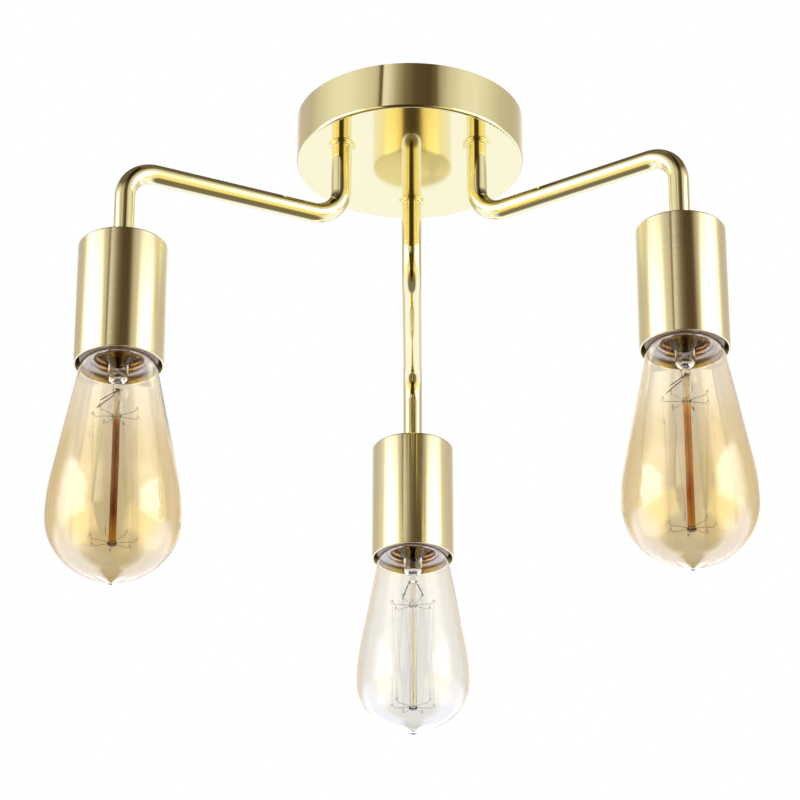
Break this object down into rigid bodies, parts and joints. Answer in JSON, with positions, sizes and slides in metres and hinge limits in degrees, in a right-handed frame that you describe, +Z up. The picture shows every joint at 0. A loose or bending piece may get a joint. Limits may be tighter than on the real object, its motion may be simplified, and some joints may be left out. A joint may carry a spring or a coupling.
{
  "type": "semi flush ceiling light",
  "caption": "Semi flush ceiling light with a shallow round brass canopy, bent brass tube arms and cups that hold screw-in globe filament bulbs pointing down.",
  "frame": {"origin": "centre of the ceiling bracket's top face, on the ceiling plane and the canopy's axis", "axes": "+Z up into the ceiling; +Y towards the arm that points straight back; +X to the right arm's side"},
  "size_m": [0.3319, 0.2994, 0.2886],
  "materials": {
    "polished_brass": "mirror polished and lacquered",
    "zinc_steel": "zinc plated",
    "block_nylon": "moulded",
    "terminal_brass": "plain machined",
    "cable_jacket": "extruded",
    "glazed_porcelain": "glazed",
    "shell_brass": "pressed",
    "contact_bronze": "pressed",
    "amber_glass": "clear, amber tinted",
    "clear_glass": "clear",
    "stem_glass": "clear",
    "support_wire": "drawn",
    "lead_wire": "drawn",
    "filament_wire": "drawn",
    "cap_brass": "rolled",
    "insulator_glass": "black, pressed"
  },
  "bodies": {
    "fixture": {"canopy": "polished_brass", "ceiling_bracket": "zinc_steel", "canopy_grub_screws": "zinc_steel", "arm_washers": "zinc_steel", "arm_lock_nuts": "zinc_steel", "terminal_block": "block_nylon", "terminal_screws": "zinc_steel", "block_screw": "zinc_steel", "earth_screw": "terminal_brass", "holder_yokes": "zinc_steel", "yoke_screws": "zinc_steel", "lamp_nuts": "zinc_steel", "holder_terminals": "terminal_brass", "holder_terminal_screws": "zinc_steel", "arm_tube_left": "polished_brass", "arm_collar_left": "polished_brass", "arm_cable_left": "cable_jacket", "lamp_cup_left": "polished_brass", "holder_body_left": "glazed_porcelain", "thread_shell_left": "shell_brass", "centre_contact_left": "contact_bronze", "arm_tube_right": "polished_brass", "arm_collar_right": "polished_brass", "arm_cable_right": "cable_jacket", "lamp_cup_right": "polished_brass", "holder_body_right": "glazed_porcelain", "thread_shell_right": "shell_brass", "centre_contact_right": "contact_bronze", "arm_tube_rear": "polished_brass", "arm_collar_rear": "polished_brass", "arm_cable_rear": "cable_jacket", "lamp_cup_rear": "polished_brass", "holder_body_rear": "glazed_porcelain", "thread_shell_rear": "shell_brass", "centre_contact_rear": "contact_bronze"},
    "carrier_left": {"bulb_contact_left": "contact_bronze"},
    "bulb_left": {"bulb_glass_left": "amber_glass", "bulb_stem_left": "stem_glass", "bulb_supports_left": "support_wire", "bulb_leads_left": "lead_wire", "bulb_filament_left": "filament_wire", "bulb_cap_left": "cap_brass", "bulb_insulator_left": "insulator_glass"},
    "carrier_right": {"bulb_contact_right": "contact_bronze"},
    "bulb_right": {"bulb_glass_right": "amber_glass", "bulb_stem_right": "stem_glass", "bulb_supports_right": "support_wire", "bulb_leads_right": "lead_wire", "bulb_filament_right": "filament_wire", "bulb_cap_right": "cap_brass", "bulb_insulator_right": "insulator_glass"},
    "carrier_rear": {"bulb_contact_rear": "contact_bronze"},
    "bulb_rear": {"bulb_glass_rear": "clear_glass", "bulb_stem_rear": "stem_glass", "bulb_supports_rear": "support_wire", "bulb_leads_rear": "lead_wire", "bulb_filament_rear": "filament_wire", "bulb_cap_rear": "cap_brass", "bulb_insulator_rear": "insulator_glass"}
  },
  "joints": [
    {"name": "bulb_left_travel", "type": "slide", "parent": "fixture", "child": "carrier_left", "axis": [0, 0, -1], "range_m": [0, 0.0182]},
    {"name": "bulb_left_screw", "type": "hinge", "parent": "carrier_left", "child": "bulb_left", "pos_m": [-0.13675, -0.07312, -0.1753], "axis": [0, 0, -1], "range_deg": [0, 1800]},
    {"name": "bulb_right_travel", "type": "slide", "parent": "fixture", "child": "carrier_right", "axis": [0, 0, -1], "range_m": [0, 0.0182]},
    {"name": "bulb_right_screw", "type": "hinge", "parent": "carrier_right", "child": "bulb_right", "pos_m": [0.13115, -0.08272, -0.1753], "axis": [0, 0, -1], "range_deg": [0, 1800]},
    {"name": "bulb_rear_travel", "type": "slide", "parent": "fixture", "child": "carrier_rear", "axis": [0, 0, -1], "range_m": [0, 0.0182]},
    {"name": "bulb_rear_screw", "type": "hinge", "parent": "carrier_rear", "child": "bulb_rear", "pos_m": [-0.00202, 0.15508, -0.1753], "axis": [0, 0, -1], "range_deg": [0, 1800]}
  ],
  "couplings": [
    {"joint": "bulb_left_travel", "follows": "bulb_left_screw", "m_per_rad": 0.00057757},
    {"joint": "bulb_right_travel", "follows": "bulb_right_screw", "m_per_rad": 0.00057757},
    {"joint": "bulb_rear_travel", "follows": "bulb_rear_screw", "m_per_rad": 0.00057757}
  ]
}
